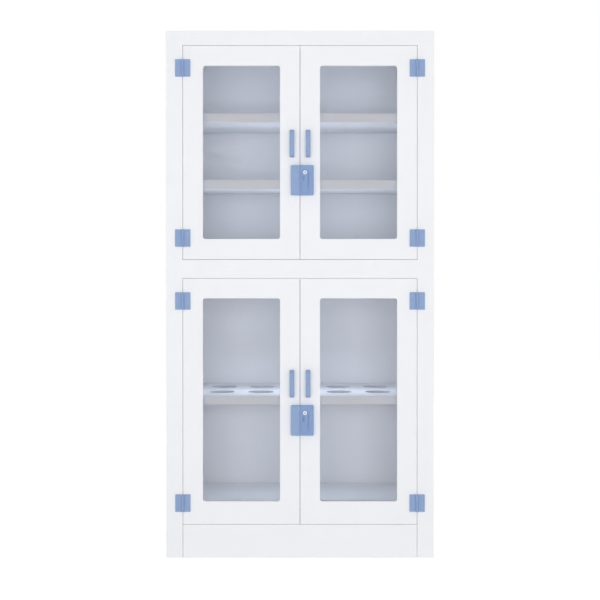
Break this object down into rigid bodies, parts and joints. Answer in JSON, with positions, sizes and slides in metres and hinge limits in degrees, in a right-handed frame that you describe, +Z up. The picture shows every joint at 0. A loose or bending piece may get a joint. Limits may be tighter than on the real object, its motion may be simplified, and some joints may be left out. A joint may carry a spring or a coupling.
{
  "type": "glass door medical cabinet",
  "caption": "Free-standing white plastic cabinet with glazed double doors above and below, blue surface hinges, bow handles, key locks and shelves inside.",
  "frame": {"origin": "on the floor, midway between the sides, and midway between the handles' front and the back", "axes": "+Z up, the doors face -Y, +X to the right of someone who faces the doors"},
  "size_m": [0.9, 0.48, 1.77],
  "materials": {
    "white_plastic": "extruded polypropylene sheet, fine matt surface",
    "blue_plastic": "injection moulded polypropylene, satin",
    "clear_glass": "clear float glass",
    "bright_metal": "nickel plated"
  },
  "bodies": {
    "cabinet": {"face_frame": "white_plastic", "plinth_panel": "white_plastic", "left_side": "white_plastic", "right_side": "white_plastic", "back_panel": "white_plastic", "top_panel": "white_plastic", "middle_deck": "white_plastic", "bottom_deck": "white_plastic", "upper_tray": "white_plastic", "lower_tray": "white_plastic", "perforated_shelf": "white_plastic", "upper_left_top_hinge_frame_leaf": "blue_plastic", "upper_left_top_hinge_pin": "blue_plastic", "upper_left_bottom_hinge_frame_leaf": "blue_plastic", "upper_left_bottom_hinge_pin": "blue_plastic", "upper_right_top_hinge_frame_leaf": "blue_plastic", "upper_right_top_hinge_pin": "blue_plastic", "upper_right_bottom_hinge_frame_leaf": "blue_plastic", "upper_right_bottom_hinge_pin": "blue_plastic", "lower_left_top_hinge_frame_leaf": "blue_plastic", "lower_left_top_hinge_pin": "blue_plastic", "lower_left_bottom_hinge_frame_leaf": "blue_plastic", "lower_left_bottom_hinge_pin": "blue_plastic", "lower_right_top_hinge_frame_leaf": "blue_plastic", "lower_right_top_hinge_pin": "blue_plastic", "lower_right_bottom_hinge_frame_leaf": "blue_plastic", "lower_right_bottom_hinge_pin": "blue_plastic"},
    "upper_left_door": {"upper_left_door_panel": "white_plastic", "upper_left_glass_pane": "clear_glass", "upper_left_glazing_frame": "white_plastic", "upper_left_handle": "blue_plastic", "upper_left_top_hinge_door_leaf": "blue_plastic", "upper_left_bottom_hinge_door_leaf": "blue_plastic", "upper_lock_keeper": "blue_plastic"},
    "upper_right_door": {"upper_right_door_panel": "white_plastic", "upper_right_glass_pane": "clear_glass", "upper_right_glazing_frame": "white_plastic", "upper_right_handle": "blue_plastic", "upper_right_top_hinge_door_leaf": "blue_plastic", "upper_right_bottom_hinge_door_leaf": "blue_plastic", "upper_lock_case": "blue_plastic"},
    "upper_key_plug": {"upper_lock_cylinder": "bright_metal"},
    "upper_bolt": {"upper_lock_bolt": "bright_metal"},
    "lower_left_door": {"lower_left_door_panel": "white_plastic", "lower_left_glass_pane": "clear_glass", "lower_left_glazing_frame": "white_plastic", "lower_left_handle": "blue_plastic", "lower_left_top_hinge_door_leaf": "blue_plastic", "lower_left_bottom_hinge_door_leaf": "blue_plastic", "lower_lock_keeper": "blue_plastic"},
    "lower_right_door": {"lower_right_door_panel": "white_plastic", "lower_right_glass_pane": "clear_glass", "lower_right_glazing_frame": "white_plastic", "lower_right_handle": "blue_plastic", "lower_right_top_hinge_door_leaf": "blue_plastic", "lower_right_bottom_hinge_door_leaf": "blue_plastic", "lower_lock_case": "blue_plastic"},
    "lower_key_plug": {"lower_lock_cylinder": "bright_metal"},
    "lower_bolt": {"lower_lock_bolt": "bright_metal"}
  },
  "joints": [
    {"name": "upper_left_door_swing", "type": "hinge", "parent": "cabinet", "child": "upper_left_door", "pos_m": [-0.39325, -0.216, 0], "axis": [0, 0, -1], "range_deg": [0, 170]},
    {"name": "upper_right_door_swing", "type": "hinge", "parent": "cabinet", "child": "upper_right_door", "pos_m": [0.39325, -0.216, 0], "axis": [0, 0, 1], "range_deg": [0, 170]},
    {"name": "upper_key_turn", "type": "hinge", "parent": "upper_right_door", "child": "upper_key_plug", "pos_m": [0.01675, -0.23, 1.2943], "axis": [0, -1, 0], "range_deg": [0, 90]},
    {"name": "upper_bolt_slide", "type": "slide", "parent": "upper_right_door", "child": "upper_bolt", "axis": [-1, 0, 0], "range_m": [0, 0.012]},
    {"name": "lower_left_door_swing", "type": "hinge", "parent": "cabinet", "child": "lower_left_door", "pos_m": [-0.39325, -0.216, 0], "axis": [0, 0, -1], "range_deg": [0, 170]},
    {"name": "lower_right_door_swing", "type": "hinge", "parent": "cabinet", "child": "lower_right_door", "pos_m": [0.39325, -0.216, 0], "axis": [0, 0, 1], "range_deg": [0, 170]},
    {"name": "lower_key_turn", "type": "hinge", "parent": "lower_right_door", "child": "lower_key_plug", "pos_m": [0.01675, -0.23, 0.4903], "axis": [0, -1, 0], "range_deg": [0, 90]},
    {"name": "lower_bolt_slide", "type": "slide", "parent": "lower_right_door", "child": "lower_bolt", "axis": [-1, 0, 0], "range_m": [0, 0.012]}
  ],
  "couplings": [
    {"joint": "upper_key_turn", "follows": "upper_bolt_slide", "rad_per_m": 130.8},
    {"joint": "lower_key_turn", "follows": "lower_bolt_slide", "rad_per_m": 130.8}
  ]
}
